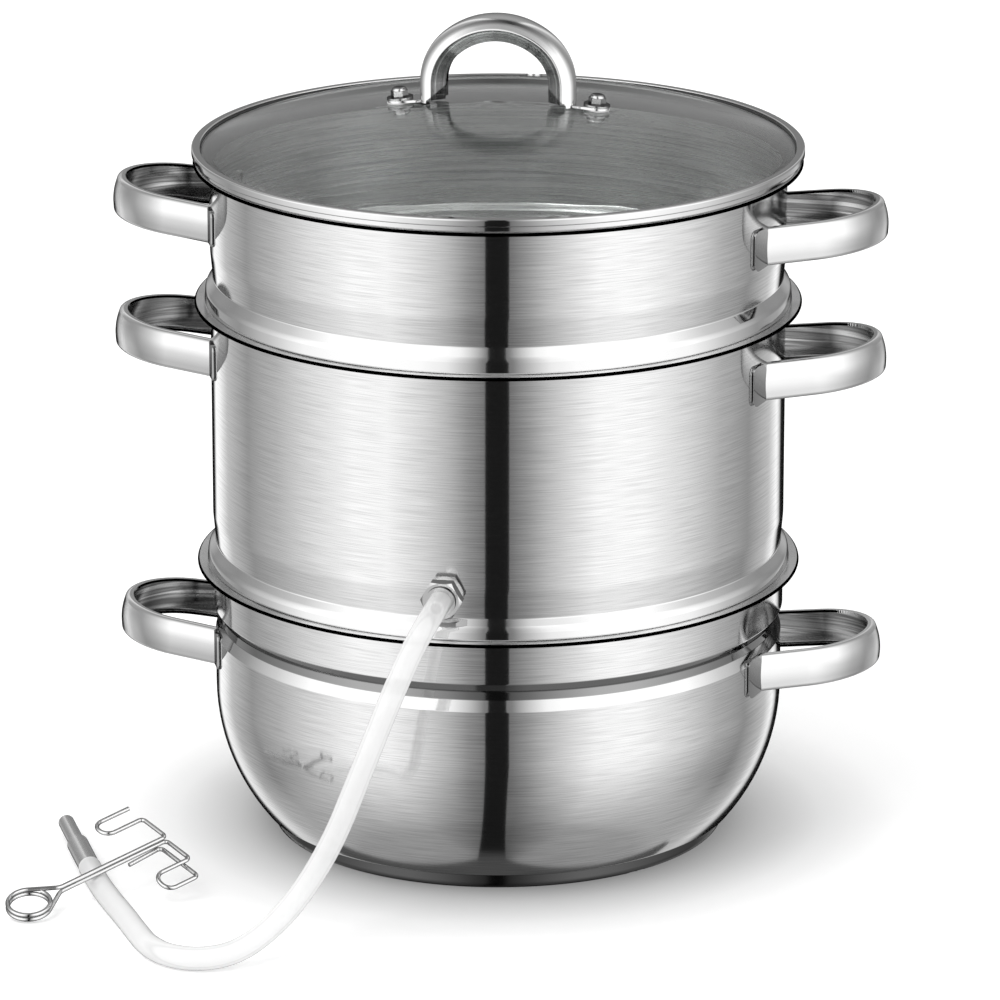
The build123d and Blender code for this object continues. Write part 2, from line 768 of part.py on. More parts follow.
def make_nodes():
    nodes = {
        "pan_body": make_pan_body(),
        "pan_base_core": make_base_core(),
        "pan_base_cap": make_base_cap(),
        "kettle_body": make_kettle_body(),
        "steam_cone": make_steam_cone(),
        "outlet_spout": make_outlet_spout(),
        "outlet_inner_seal": make_inner_seal(),
        "outlet_outer_seal": make_outer_seal(),
        "outlet_nut": make_outlet_nut(),
        "juice_hose": make_hose(),
        "hose_nozzle": make_nozzle(),
        "clamp_base_wire": make_clamp_base(),
        "clamp_lever_wire": make_clamp_lever(),
        "basket_body": make_basket_body(),
        "lid_glass": make_glass(),
        "lid_rim": make_rim(),
        "lid_rim_seal": make_rim_seal(),
        "lid_handle": make_arch(),
        "steam_vent": make_vent(),
    }
    nodes.update(make_lid_fasteners())
    handles = {
        "pan": (pan_height - pan_handle_drop, pan_belly_radius),
        "kettle": (kettle_top - kettle_handle_drop, wall_radius),
        "basket": (basket_top - basket_handle_drop, wall_radius),
    }
    for pot, (height, radius) in handles.items():
        handle = make_side_handle(height, radius)
        nodes[pot + "_handle_right"] = handle
        nodes[pot + "_handle_left"] = Rot(0, 0, 180) * handle
    return nodes


os.makedirs("parts", exist_ok=True)
for name, shape in make_nodes().items():
    export_step(shape, "parts/" + name + ".step")
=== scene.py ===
import bpy
from math import atan2, ceil, cos, pi, radians, sin, sqrt, tan
from mathutils import Matrix, Vector


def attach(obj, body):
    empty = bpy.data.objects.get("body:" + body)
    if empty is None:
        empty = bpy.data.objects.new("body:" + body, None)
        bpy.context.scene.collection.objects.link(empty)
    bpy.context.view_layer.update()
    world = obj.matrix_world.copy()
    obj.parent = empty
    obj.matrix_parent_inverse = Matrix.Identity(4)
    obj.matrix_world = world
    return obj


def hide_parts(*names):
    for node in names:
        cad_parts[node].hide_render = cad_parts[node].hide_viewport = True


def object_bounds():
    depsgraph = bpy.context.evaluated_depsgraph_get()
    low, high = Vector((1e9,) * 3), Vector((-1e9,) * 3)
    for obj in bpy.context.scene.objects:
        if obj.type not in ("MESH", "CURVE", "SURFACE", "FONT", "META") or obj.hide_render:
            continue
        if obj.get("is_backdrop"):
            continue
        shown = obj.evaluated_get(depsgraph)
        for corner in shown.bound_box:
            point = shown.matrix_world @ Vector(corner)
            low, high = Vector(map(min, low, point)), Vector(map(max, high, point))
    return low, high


# The looks of a steam juicer: brushed and polished steel, a glass lid, a milky hose.
# Lengths are in millimetres and become metres where meshes are made. The hose's route is in metres.
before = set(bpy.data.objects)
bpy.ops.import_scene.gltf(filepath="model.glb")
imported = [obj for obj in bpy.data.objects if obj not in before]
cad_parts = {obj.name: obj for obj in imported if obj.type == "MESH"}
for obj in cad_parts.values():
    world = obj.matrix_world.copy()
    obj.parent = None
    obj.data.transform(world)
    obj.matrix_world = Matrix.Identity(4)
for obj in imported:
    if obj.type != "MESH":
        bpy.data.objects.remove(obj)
cad_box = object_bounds()
mm = 0.001

# Camera
camera_azimuth = 9.0
camera_elevation = 16.8
camera_distance = 3000
camera_height = 146
camera_shift = 0.77
camera_lens = 244.7
camera_sensor = 36

# Faces in a turn of the turned pieces, and degrees to a face in rounded corners, beads and tab ends
turn_steps = 288
arc_step = 3.0
bead_step = 15
tab_end_step = 10

# Shared by the pots: sheet, lip, nested skirt and the flared band over it
sheet = 0.8
wall_radius = 125.8
lip_radius = 132.8
lip_bead = 0.8
lip_bend = 0.4
skirt_radius = 121.5
band_radius = 128.4
band_bulge_radius = 127.9
band_bulge_share = 0.59
neck_radius = 124.7
wall_rounding_height = 12.3
kettle_band_height = 9.0
basket_band_height = 11.0
band_bends = [1.0, 0.9, 5.0, 0.9, 30.0]

# Pan: its belly, shoulder and groove, and the heights between which the groove is darkened with painted shade
pan_floor_radius = 103.6
pan_belly_radius = 125.2
pan_knee_rise = 26.9
pan_shoulder_height = 89.0
pan_groove_radius = 123.3
pan_groove_heights = (94.0, 97.6)
pan_collar_height = 101.7
pan_bends = [6.0, 88.0, 1.0, 1.0, 1.0, 1.0]
pan_brushed_height = 89.5
pan_groove_shade_heights = (93.8, 101.4)

# Kettle: its pressed-up floor with the hole for the steam, and the trough round it
kettle_hole_radius = 46.0
kettle_floor_radius = 112.5
kettle_floor_height = 127.4
kettle_seat = 103.0
kettle_trough_bends = [4.0, 4.0, 4.0]

# Perforated floor of the basket, and how its edge turns up into the wall
floor_plate_radius = 111.5
basket_seat = 209.3
basket_floor_bends = [5.0]
hole_radius = 2.0
hole_pitch = 12.5
hole_rings = 8
holes_per_ring_step = 6
hole_sides = 24
plate_sides = 144

# Levels
base_height = 6.7
pan_top = 121.7
kettle_top = 239.3
basket_top = 301.8

# Lid
rim_sheet = 0.6
rim_height = 6.2
rim_band_height = 3.5
rim_radius = 133.3
rim_inner_radius = 129.6
rim_leg_radius = 131.6
rim_locator_radius = 124.0
rim_locator_depth = 4.3
rim_bead_radius = 0.45
rim_bends = [0.3, 0.7, 0.3, 0.7, 0.9]
glass_crown_height = 326.8
glass_sphere_radius = 426.0

# Side handles: root height on each pot, and the pot's radius there
handle_roots = {
    "pan": (83.0, pan_belly_radius),
    "kettle": (215.1, wall_radius),
    "basket": (275.3, wall_radius),
}
handle_bodies = {"pan": "water_pan", "kettle": "juice_kettle", "basket": "fruit_basket"}
strap_sheet = 1.2
strap_height = 16.6
strap_depth = 4.8
strap_crown = 1.6
strap_bends = [2.2, 25.0, 2.2]
strap_half_width = 35.6
strap_root_inset = 7.8
strap_first_heading = 6.8
strap_straight = 24.5
strap_shoulder_radius = 32.7
strap_nose_heading = 45.8
strap_tilt = 7.4
path_step = 3.0
hair_gap = 0.05
tab_height = 16.0
tab_length = 10.2
tab_corner = 2.5
tab_bevel = 0.9
arch_tab_bevel = 0.35

# Lid handle
arch_sheet = 1.2
arch_half_width = 34.3
arch_height = 39.0
arch_shoulder_radius = 29.0
arch_shoulder_angle = 50.0
arch_section = [(11.8, 3.6), (6.0, 8.0), (0.9, 5.6), (0, 0), (0.9, -5.6), (6.0, -8.0), (11.8, -3.6)]
arch_crease = 6.0
arch_bends = [1.4, 6.0, 15.0, 6.0, 1.4]
arch_foot_angle = 40.0
arch_foot_inset = 3.7
arch_tab_width = 11.0
arch_tab_floor = 0.65
bolt_place = 43.0

# Hose
hose_radius = 5.0
hose_points = [
    (-0.0035, -0.135, 0.1408), (-0.004, -0.153, 0.1408), (-0.009, -0.169, 0.1319),
    (-0.0165, -0.1775, 0.1135), (-0.0245, -0.1795, 0.0926), (-0.0325, -0.1795, 0.0714),
    (-0.0405, -0.182, 0.0505), (-0.0505, -0.1885, 0.0317), (-0.0625, -0.198, 0.0163),
    (-0.076, -0.21, 0.0072), (-0.09, -0.2175, 0.0053), (-0.105, -0.216, 0.0053),
    (-0.1165, -0.2055, 0.0053), (-0.125, -0.1895, 0.0053), (-0.1345, -0.1705, 0.0053),
    (-0.145, -0.151, 0.0053), (-0.1547, -0.1312, 0.0053), (-0.1619, -0.1136, 0.0053),
]

# The studio as steel sees it: brightness on the sRGB scale against the azimuth from the camera.
# An upright wall mirrors the low table, the pan's belly the one under it, and bands and shoulders the
# high one.
low_studio_shares = [
    (-180, 0.03), (-163, 0.04), (-158, 0.99), (-150, 0.94), (-140, 0.74), (-120, 0.57), (-100, 0.69),
    (-80, 0.84), (-60, 0.96), (-45, 0.96), (-30, 0.83), (-20, 0.70), (-12, 0.54), (-5.6, 0.45), (5.4, 0.45),
    (12, 0.57), (20, 0.72), (30, 0.85), (40, 0.96), (50, 0.98), (60, 0.96), (80, 0.84), (100, 0.67),
    (120, 0.55), (140, 0.74), (151, 0.97), (156, 0.75), (159, 0.08), (180, 0.03),
]
under_studio_shares = [
    (-180, 0.95), (-60, 1.0), (-40, 0.96), (-20, 0.75), (-8, 0.60), (8, 0.60), (20, 0.75), (40, 0.96),
    (60, 1.0), (180, 0.95),
]
high_studio_shares = [
    (-180, 0.30), (-174, 0.55), (-168, 0.99), (-160, 0.90), (-150, 0.63), (-132, 0.55), (-120, 0.59),
    (-100, 0.78), (-80, 1.0), (-30, 1.0), (-20, 0.94), (-12, 0.74), (-5.6, 0.46), (5.4, 0.46), (12, 0.74),
    (20, 0.94), (30, 1.0), (80, 1.0), (100, 0.78), (120, 0.59), (132, 0.55), (150, 0.63), (160, 0.90),
    (168, 0.99), (174, 0.55), (180, 0.30),
]
# The upper one is what the tops of the handles mirror
upper_studio_shares = [
    (-180, 0.30), (-150, 0.55), (-110, 0.72), (-60, 0.95), (-20, 1.0), (20, 1.0), (60, 0.95), (110, 0.72),
    (150, 0.55), (180, 0.30),
]
# Light against the height of the direction, from straight down to straight up
upright_shares = [
    (-1, 0.21), (-0.985, 0.235), (-0.955, 0.265), (-0.86, 0.30), (-0.8, 0.43), (-0.59, 0.70), (-0.29, 1.0),
    (0.84, 1.0), (0.93, 0.5), (0.98, 0.3), (1, 0.22),
]
# Between which heights of the direction one table gives way to the next
under_heights = (-0.87, -0.55)
high_heights = (-0.26, -0.09)
upper_heights = (0.915, 0.935)
# The grey wall behind the object, which flat tops and the glass mirror
behind_azimuths = (162, 166)
behind_heights = (0.02, 0.10)
behind_share = 0.6
# The dark flag in front of the object, and the shade on the floor that it runs into
flag_share = 0.09
flag_top = 0.92
flag_side = -0.0067
flag_lean = 0.03
flag_half_width = 0.08
flag_least_half_width = 0.045
flag_taper = 0.03
wall_rise = -0.289
shade_share = 0.27
shade_heights = (-0.62, -0.77)
shade_depths = (-0.25, -0.13)
shade_start = -0.11
shade_spread = 0.72
shade_end = 0.6

# What the studio's light is divided by, since steel takes that share of it, and the light on matt surfaces
steel_reflectance = 0.86
soft_light = 1.0
# How far the mirror of a strap is bowed outwards, and that of the arch upwards
strap_bow = 0.45
arch_bow = 0.46

# Painted dark outlines: how much of its shine steel keeps from face on to edge on, the rest painted dark:
# handles and sheet, and wires
outline_shares = [(0.0, 1.0), (0.4, 1.0), (0.62, 0.82), (0.8, 0.5), (0.92, 0.15), (1.0, 0.05)]
wire_shares = [(0.0, 1.0), (0.2, 0.95), (0.45, 0.55), (0.65, 0.2), (1.0, 0.04)]
# Painted shade on the hose's milk: it greys towards edge on, with a painted grey line where its bore would
# end
hose_edge_shade_shares = [(0.0, 1.0), (0.28, 1.0), (0.36, 0.84), (0.46, 0.97), (0.7, 0.93), (0.86, 0.62), (1.0, 0.4)]

# Grain and smears of the materials: lightness against the noise. The inside, streak and arch line tables are
# also darkened as painted shade inside the pots and handles
grain_shares = [(0.3, 0.72), (0.5, 0.86), (0.7, 0.97)]
inside_shade_shares = [(0.3, 0.5), (0.48, 0.8), (0.6, 0.95), (0.72, 1.0)]
streak_shade_shares = [(0.32, 0.13), (0.46, 0.42), (0.54, 0.20), (0.64, 0.85)]
arch_line_shade_shares = [(0.3, 0.10), (0.48, 0.35), (0.56, 0.22), (0.68, 0.75)]
bowed_shares = [(0.3, 0.88), (0.7, 0.92)]
milk_shares = [(0.3, 0.97), (0.7, 1.0)]
# How much of the hose is clear, from face on to edge on
clear_shares = [(0.0, 0.35), (0.6, 0.25), (0.85, 0.1), (1.0, 0.0)]
# How far smears and mottles darken a plain colour, and the painted dark that steel falls to edge on
smear_share = 0.97
mottle_share = 0.95
painted_outline_share = 0.06

# Smooth steels: lightness, roughness, and how the shine holds up towards edge on before the painted dark
# outline
smooth_steel_shares = {
    "polished_steel": (0.92, 0.04, outline_shares),
    # The groove's steel is a darker copy of the polished steel: painted shade in the pan's groove
    "groove_shade_steel": (0.42, 0.06, outline_shares),
    # The tabs' steel is a darker copy of the polished steel: painted shade on the handle tabs
    "tab_shade_steel": (0.6, 0.05, outline_shares),
    "wire_steel": (0.95, 0.04, wire_shares),
    "turned_steel": (0.86, 0.08, wire_shares),
    "nozzle_steel": (0.95, 0.25, outline_shares),
    # The base cap's steel is nearly black: painted shade low on the pan, under its belly
    "base_steel": (0.11, 0.12, outline_shares),
    "core_aluminium": (0.7, 0.4, outline_shares),
}
# Rubbers: lightness and roughness
rubber_shares = {"seal_rubber": (0.75, 0.4), "rim_rubber": (0.06, 0.4)}
# What the solids that still show are made of
dressed_nodes = {
    "wire_steel": ["clamp_base_wire", "clamp_lever_wire"],
    "turned_steel": [
        "outlet_nut", "outlet_spout", "steam_cone", "lid_screws", "lid_cap_nuts", "lid_washers",
        "lid_lower_washers", "steam_vent",
    ],
    "nozzle_steel": ["hose_nozzle"],
    "base_steel": ["pan_base_cap"],
    "core_aluminium": ["pan_base_core"],
    "clear_glass": ["lid_glass"],
    "seal_rubber": ["outlet_inner_seal", "outlet_outer_seal", "lid_upper_seals", "lid_lower_seals"],
    "rim_rubber": ["lid_rim_seal"],
}

# The floor, in metres: its lightness against shares of its reach, a painted shadow darkest by the pan, and
# the soft lamp
floor_half_size = 4.0
floor_reach = 0.4
floor_shadow_shares = [(0.25, 0.2), (0.29, 0.4), (0.36, 0.7), (0.45, 0.9), (0.6, 0.95)]
floor_glow = 0.22
key_energy = 14
key_size = 1.2
key_place = (-0.9, -1.2, 1.9)

# Level lines, outside and inside: how many times they change along a metre of height and in a radian
# round the pot
brush_lines = 2000.0
brush_turns = 5.0
brushed_roughness = 0.085
brushed_anisotropy = 0.95
inside_lines = 700.0
inside_turns = 1.5

# How many times the other grains change along a metre, and streaks along X, Y and Z
smear_lines = 60.0
glass_lines = 25.0
milk_lines = 90.0
mottle_lines = 120.0
streak_lines = (9.0, 9.0, 330.0)

# Drawn lines inside the arch: where its round part begins, how it is squashed, and lines to a metre
arch_middle_height = 334.9
arch_squash = 1.11
arch_lines = 700.0


def linear(share):
    """Light for a brightness share of the sRGB scale"""
    return ((share + 0.055) / 1.055) ** 2.4 if share > 0.04 else share / 12.92


def add(tree, kind, inputs=None, **settings):
    """A shader node, its settings, and its inputs as values or as other nodes' outputs"""
    made = tree.nodes.new(kind)
    for name, value in settings.items():
        setattr(made, name, value)
    for name, value in (inputs or {}).items():
        if isinstance(value, bpy.types.NodeSocket):
            tree.links.new(value, made.inputs[name])
        else:
            made.inputs[name].default_value = value
    return made


def math(tree, operation, *values):
    """The result of a math node"""
    return add(tree, "ShaderNodeMath", dict(enumerate(values)), operation=operation).outputs[0]


def ramp(tree, factor, stops):
    """A colour ramp of grey stops: place and light"""
    made = add(tree, "ShaderNodeValToRGB", {"Fac": factor})
    points = made.color_ramp.elements
    while len(points) < len(stops):
        points.new(1)
    for point, (place, light) in zip(points, stops):
        point.position = place
        point.color = (light, light, light, 1)
    return made.outputs["Color"]


def make_camera():
    azimuth = radians(camera_azimuth)
    elevation = radians(camera_elevation)
    right = Vector((cos(azimuth), sin(azimuth), 0))
    towards = Vector((sin(azimuth) * cos(elevation), -cos(azimuth) * cos(elevation), sin(elevation)))
    camera = bpy.data.objects.new("camera", bpy.data.cameras.new("camera"))
    aim = right * camera_shift + Vector((0, 0, camera_height))
    camera.location = (aim + towards * camera_distance) * mm
    camera.rotation_euler = towards.to_track_quat("Z", "Y").to_euler()
    camera.data.lens = camera_lens
    camera.data.sensor_width = camera_sensor
    bpy.context.collection.objects.link(camera)
    bpy.context.scene.camera = camera


def around(tree, share, shares):
    """The studio's light about the object, from its table"""
    return ramp(tree, share, [((azimuth + 180) / 360, linear(light)) for azimuth, light in shares])


def between(tree, value, start, end):
    """0 at the start, 1 at the end and never outside them"""
    inputs = {"Value": value, "From Min": start, "From Max": end}
    return add(tree, "ShaderNodeMapRange", inputs).outputs["Result"]


def blend(tree, share, first, second, kind="MIX"):
    """A mix of two colours, or of a colour and a light"""
    inputs = {0: share, "A": first, "B": second}
    return add(tree, "ShaderNodeMix", inputs, data_type="RGBA", blend_type=kind).outputs["Result"]


def grey(share):
    """A grey of a brightness share of the sRGB scale"""
    return (linear(share), linear(share), linear(share), 1)


def in_flag(tree, side, away, rise):
    """1 in the dark flag and in the shade on the floor"""
    fall = math(tree, "SUBTRACT", rise, wall_rise)
    middle = math(tree, "MULTIPLY_ADD", math(tree, "MINIMUM", fall, 0), flag_lean, flag_side)
    taper = math(tree, "MULTIPLY_ADD", math(tree, "ABSOLUTE", fall), -flag_taper, flag_half_width)
    half = math(tree, "MAXIMUM", taper, flag_least_half_width)
    under = between(tree, rise, *shade_heights)
    depth = math(tree, "MAXIMUM", math(tree, "SUBTRACT", away, shade_start), 0)
    spread = math(tree, "MULTIPLY", depth, shade_spread)
    half = math(tree, "MULTIPLY_ADD", spread, under, half)
    inside = math(tree, "LESS_THAN", math(tree, "ABSOLUTE", math(tree, "SUBTRACT", side, middle)), half)
    front = math(tree, "LESS_THAN", away, math(tree, "MULTIPLY", under, shade_end))
    below = math(tree, "LESS_THAN", rise, flag_top)
    return math(tree, "MULTIPLY", math(tree, "MULTIPLY", inside, front), below)


def studio_light(tree, mirrored):
    """The panels about the object, the floor and the dark flags, by the direction that a ray leaves in"""
    place = add(tree, "ShaderNodeTexCoord").outputs["Generated"]
    axes = add(tree, "ShaderNodeSeparateXYZ", {"Vector": place}).outputs
    turn = radians(camera_azimuth)
    side = math(tree, "MULTIPLY_ADD", axes["X"], cos(turn), math(tree, "MULTIPLY", axes["Y"], sin(turn)))
    away = math(tree, "MULTIPLY_ADD", axes["X"], -sin(turn), math(tree, "MULTIPLY", axes["Y"], cos(turn)))
    rise = axes["Z"]
    azimuth = math(tree, "ARCTAN2", side, math(tree, "MULTIPLY", away, -1))
    share = math(tree, "MULTIPLY_ADD", azimuth, 0.5 / pi, 0.5)
    panels = around(tree, share, under_studio_shares)
    low = around(tree, share, low_studio_shares)
    panels = blend(tree, between(tree, rise, *under_heights), panels, low)
    high = around(tree, share, high_studio_shares)
    panels = blend(tree, between(tree, rise, *high_heights), panels, high)
    back = [radians(angle) for angle in behind_azimuths]
    behind = between(tree, math(tree, "ABSOLUTE", azimuth), *back)
    behind = math(tree, "MULTIPLY", behind, between(tree, rise, *behind_heights))
    panels = blend(tree, behind, panels, grey(behind_share))
    upper = around(tree, share, upper_studio_shares)
    panels = blend(tree, between(tree, rise, *upper_heights), panels, upper)
    height = math(tree, "MULTIPLY_ADD", rise, 0.5, 0.5)
    upright = ramp(tree, height, [(place / 2 + 0.5, light) for place, light in upright_shares])
    shaded = blend(tree, mirrored, panels, upright, "MULTIPLY")
    dark = blend(tree, between(tree, away, *shade_depths), grey(flag_share), grey(shade_share))
    return blend(tree, math(tree, "MULTIPLY", in_flag(tree, side, away, rise), mirrored), shaded, dark)


def seen_rays(tree):
    """1 for rays from the camera, straight or through the glass, and the light path's outputs"""
    rays = add(tree, "ShaderNodeLightPath").outputs
    first = math(tree, "LESS_THAN", rays["Glossy Depth"], 0.5)
    through = math(tree, "MULTIPLY", rays["Is Transmission Ray"], first)
    return math(tree, "MAXIMUM", rays["Is Camera Ray"], through), rays


def make_world():
    """White for the camera, soft light for matt surfaces, and panels and flags for the steel"""
    world = bpy.data.worlds.new("studio")
    bpy.context.scene.world = world
    world.use_nodes = True
    tree = world.node_tree
    tree.nodes.clear()
    seen, rays = seen_rays(tree)
    light = studio_light(tree, math(tree, "SUBTRACT", 1, rays["Is Transmission Ray"]))
    bounced = math(tree, "MAXIMUM", rays["Is Glossy Ray"], rays["Is Transmission Ray"])
    steel = add(tree, "ShaderNodeBackground", {"Color": light, "Strength": 1 / steel_reflectance})
    soft = add(tree, "ShaderNodeBackground", {"Color": grey(1), "Strength": soft_light})
    white = add(tree, "ShaderNodeBackground", {"Color": grey(1), "Strength": 1})
    glossy = add(tree, "ShaderNodeMixShader", {0: bounced, 1: soft.outputs[0], 2: steel.outputs[0]})
    mixed = add(tree, "ShaderNodeMixShader", {0: seen, 1: glossy.outputs[0], 2: white.outputs[0]})
    add(tree, "ShaderNodeOutputWorld", {"Surface": mixed.outputs[0]})


def new_material(name):
    """An empty node material and its tree"""
    material = bpy.data.materials.new(name)
    material.use_nodes = True
    material.node_tree.nodes.clear()
    return material, material.node_tree


def finish_material(tree, shader):
    add(tree, "ShaderNodeOutputMaterial", {"Surface": shader})


def edge_ramp(tree, shares):
    """A grey by how the surface is seen, from face on to edge on"""
    edge = add(tree, "ShaderNodeLayerWeight", {"Blend": 0.5}).outputs["Facing"]
    return ramp(tree, edge, shares)


def outlined(tree, shader, shares):
    """Steel painted dark, by the shares, where it is seen edge on: a painted dark outline standing in for
    dark reflections
    """
    black = add(tree, "ShaderNodeBsdfDiffuse", {"Color": grey(painted_outline_share)})
    inputs = {0: edge_ramp(tree, shares), 1: black.outputs[0], 2: shader}
    return add(tree, "ShaderNodeMixShader", inputs).outputs[0]


def level_lines(tree, lines, turns, detail):
    """Noise drawn out round the pot: its changes along a metre of height and in a radian"""
    place = add(tree, "ShaderNodeTexCoord").outputs["Object"]
    axes = add(tree, "ShaderNodeSeparateXYZ", {"Vector": place}).outputs
    angle = math(tree, "MULTIPLY", math(tree, "ARCTAN2", axes["Y"], axes["X"]), turns)
    height = math(tree, "MULTIPLY", axes["Z"], lines)
    drawn = add(tree, "ShaderNodeCombineXYZ", {"X": angle, "Z": height}).outputs[0]
    inputs = {"Vector": drawn, "Scale": 1.0, "Detail": detail, "Roughness": 0.6}
    return add(tree, "ShaderNodeTexNoise", inputs).outputs["Fac"]


def spots(tree, scale, detail):
    """Even noise over the object"""
    place = add(tree, "ShaderNodeTexCoord").outputs["Object"]
    return add(tree, "ShaderNodeTexNoise", {"Vector": place, "Scale": scale, "Detail": detail}).outputs["Fac"]


def make_brushed_steel():
    """Steel brushed round the pot: fine level lines, sharp sideways and blurred along the height"""
    material, tree = new_material("brushed_steel")
    grain = level_lines(tree, brush_lines, brush_turns, 2.0)
    colour = ramp(tree, grain, grain_shares)
    tangent = add(tree, "ShaderNodeTangent", direction_type="RADIAL", axis="Z").outputs[0]
    steel = add(tree, "ShaderNodeBsdfPrincipled", {
        "Base Color": colour, "Metallic": 1.0, "Roughness": brushed_roughness,
        "Anisotropic": brushed_anisotropy, "Anisotropic Rotation": 0.25, "Tangent": tangent,
    })
    finish_material(tree, steel.outputs[0])
    return material


def make_inside_steel():
    """The dull inside of the pots, with level lines, and darker than the outside as painted shade"""
    material, tree = new_material("inside_steel")
    lines = level_lines(tree, inside_lines, inside_turns, 3.0)
    colour = ramp(tree, lines, inside_shade_shares)
    rough = math(tree, "MULTIPLY_ADD", lines, 0.1, 0.22)
    steel = add(tree, "ShaderNodeBsdfPrincipled", {"Base Color": colour, "Metallic": 1.0, "Roughness": rough})
    finish_material(tree, steel.outputs[0])
    return material


def make_smooth_steel(name, shade, roughness, shares):
    """Smooth steel with faint smears"""
    material, tree = new_material(name)
    smears = spots(tree, smear_lines, 4.0)
    rough = math(tree, "MULTIPLY_ADD", smears, 0.03, roughness)
    colour = ramp(tree, smears, [(0.3, shade * smear_share), (0.7, shade)])
    steel = add(tree, "ShaderNodeBsdfPrincipled", {"Base Color": colour, "Metallic": 1.0, "Roughness": rough})
    finish_material(tree, outlined(tree, steel.outputs[0], shares))
    return material


def make_bowed_steel(name, sideways, upwards):
    """Polished steel that mirrors the studio as if it were bowed: away from the middle, or upwards"""
    material, tree = new_material(name)
    place = add(tree, "ShaderNodeTexCoord").outputs["Object"]
    axes = add(tree, "ShaderNodeSeparateXYZ", {"Vector": place}).outputs
    side = math(tree, "MULTIPLY", math(tree, "SIGN", axes["X"]), sideways)
    bow = add(tree, "ShaderNodeCombineXYZ", {"X": side, "Z": upwards}).outputs[0]
    flat = add(tree, "ShaderNodeNewGeometry").outputs["Normal"]
    bowed = add(tree, "ShaderNodeVectorMath", {0: flat, 1: bow}, operation="ADD").outputs[0]
    normal = add(tree, "ShaderNodeVectorMath", {0: bowed}, operation="NORMALIZE").outputs[0]
    smears = spots(tree, smear_lines, 4.0)
    rough = math(tree, "MULTIPLY_ADD", smears, 0.04, 0.1)
    colour = ramp(tree, smears, bowed_shares)
    steel = add(tree, "ShaderNodeBsdfPrincipled", {
        "Base Color": colour, "Metallic": 1.0, "Roughness": rough, "Normal": normal,
    })
    finish_material(tree, outlined(tree, steel.outputs[0], outline_shares))
    return material


def make_inner_steel():
    """The rougher inside of a formed handle: darkened with painted shade, with drawn streaks along it"""
    material, tree = new_material("shaded_inner_steel")
    place = add(tree, "ShaderNodeTexCoord").outputs["Object"]
    drawn = add(tree, "ShaderNodeMapping", {"Vector": place, "Scale": streak_lines}).outputs[0]
    streaks = add(tree, "ShaderNodeTexNoise", {"Vector": drawn, "Scale": 1.0, "Detail": 4.0}).outputs["Fac"]
    colour = ramp(tree, streaks, streak_shade_shares)
    rough = math(tree, "MULTIPLY_ADD", streaks, 0.1, 0.14)
    steel = add(tree, "ShaderNodeBsdfPrincipled", {"Base Color": colour, "Metallic": 1.0, "Roughness": rough})
    finish_material(tree, steel.outputs[0])
    return material


def make_arch_inside():
    """The inner slope of the lid handle: in the shade, with drawn lines along the arch"""
    material, tree = new_material("arch_inside")
    place = add(tree, "ShaderNodeTexCoord").outputs["Object"]
    axes = add(tree, "ShaderNodeSeparateXYZ", {"Vector": place}).outputs
    climb = math(tree, "MAXIMUM", math(tree, "SUBTRACT", axes["Z"], arch_middle_height * mm), 0)
    climb = math(tree, "MULTIPLY", climb, arch_squash)
    spoke = add(tree, "ShaderNodeCombineXYZ", {"X": axes["X"], "Z": climb}).outputs[0]
    distance = add(tree, "ShaderNodeVectorMath", {0: spoke}, operation="LENGTH").outputs["Value"]
    drawn = add(tree, "ShaderNodeCombineXYZ", {"X": distance}).outputs[0]
    inputs = {"Vector": drawn, "Scale": arch_lines, "Detail": 2.0}
    lines = add(tree, "ShaderNodeTexNoise", inputs).outputs["Fac"]
    colour = ramp(tree, lines, arch_line_shade_shares)
    steel = add(tree, "ShaderNodeBsdfPrincipled", {"Base Color": colour, "Metallic": 1.0, "Roughness": 0.12})
    finish_material(tree, steel.outputs[0])
    return material


def make_glass_material():
    """Clear glass with faint smears"""
    material, tree = new_material("clear_glass")
    rough = math(tree, "MULTIPLY", spots(tree, glass_lines, 3.0), 0.01)
    glass = add(tree, "ShaderNodeBsdfPrincipled", {
        "Base Color": (0.95, 0.97, 0.96, 1), "Roughness": rough, "IOR": 1.52, "Transmission Weight": 1.0,
    })
    finish_material(tree, glass.outputs[0])
    return material


def make_silicone():
    """Milky silicone: white, partly see-through, with painted grey shade towards its edges and a painted line
    for the bore's edge
    """
    material, tree = new_material("milky_silicone")
    milk = ramp(tree, spots(tree, milk_lines, 3.0), milk_shares)
    shade = blend(tree, 1, milk, edge_ramp(tree, hose_edge_shade_shares), "MULTIPLY")
    matte = add(tree, "ShaderNodeBsdfPrincipled", {"Base Color": shade, "Roughness": 0.12, "IOR": 1.41})
    glow = add(tree, "ShaderNodeBsdfTranslucent", {"Color": grey(1)})
    clear = add(tree, "ShaderNodeBsdfTransparent", {"Color": grey(0.99)})
    wall = add(tree, "ShaderNodeMixShader", {0: 0.2, 1: matte.outputs[0], 2: glow.outputs[0]})
    share = edge_ramp(tree, clear_shares)
    mixed = add(tree, "ShaderNodeMixShader", {0: share, 1: wall.outputs[0], 2: clear.outputs[0]})
    finish_material(tree, mixed.outputs[0])
    return material


def make_rubber(name, shade, roughness):
    """Rubber with a faint mottle"""
    material, tree = new_material(name)
    mottle = spots(tree, mottle_lines, 3.0)
    colour = ramp(tree, mottle, [(0.3, shade * mottle_share), (0.7, shade)])
    rough = math(tree, "MULTIPLY_ADD", mottle, 0.1, roughness)
    soft = add(tree, "ShaderNodeBsdfPrincipled", {"Base Color": colour, "Roughness": rough, "IOR": 1.41})
    finish_material(tree, soft.outputs[0])
    return material


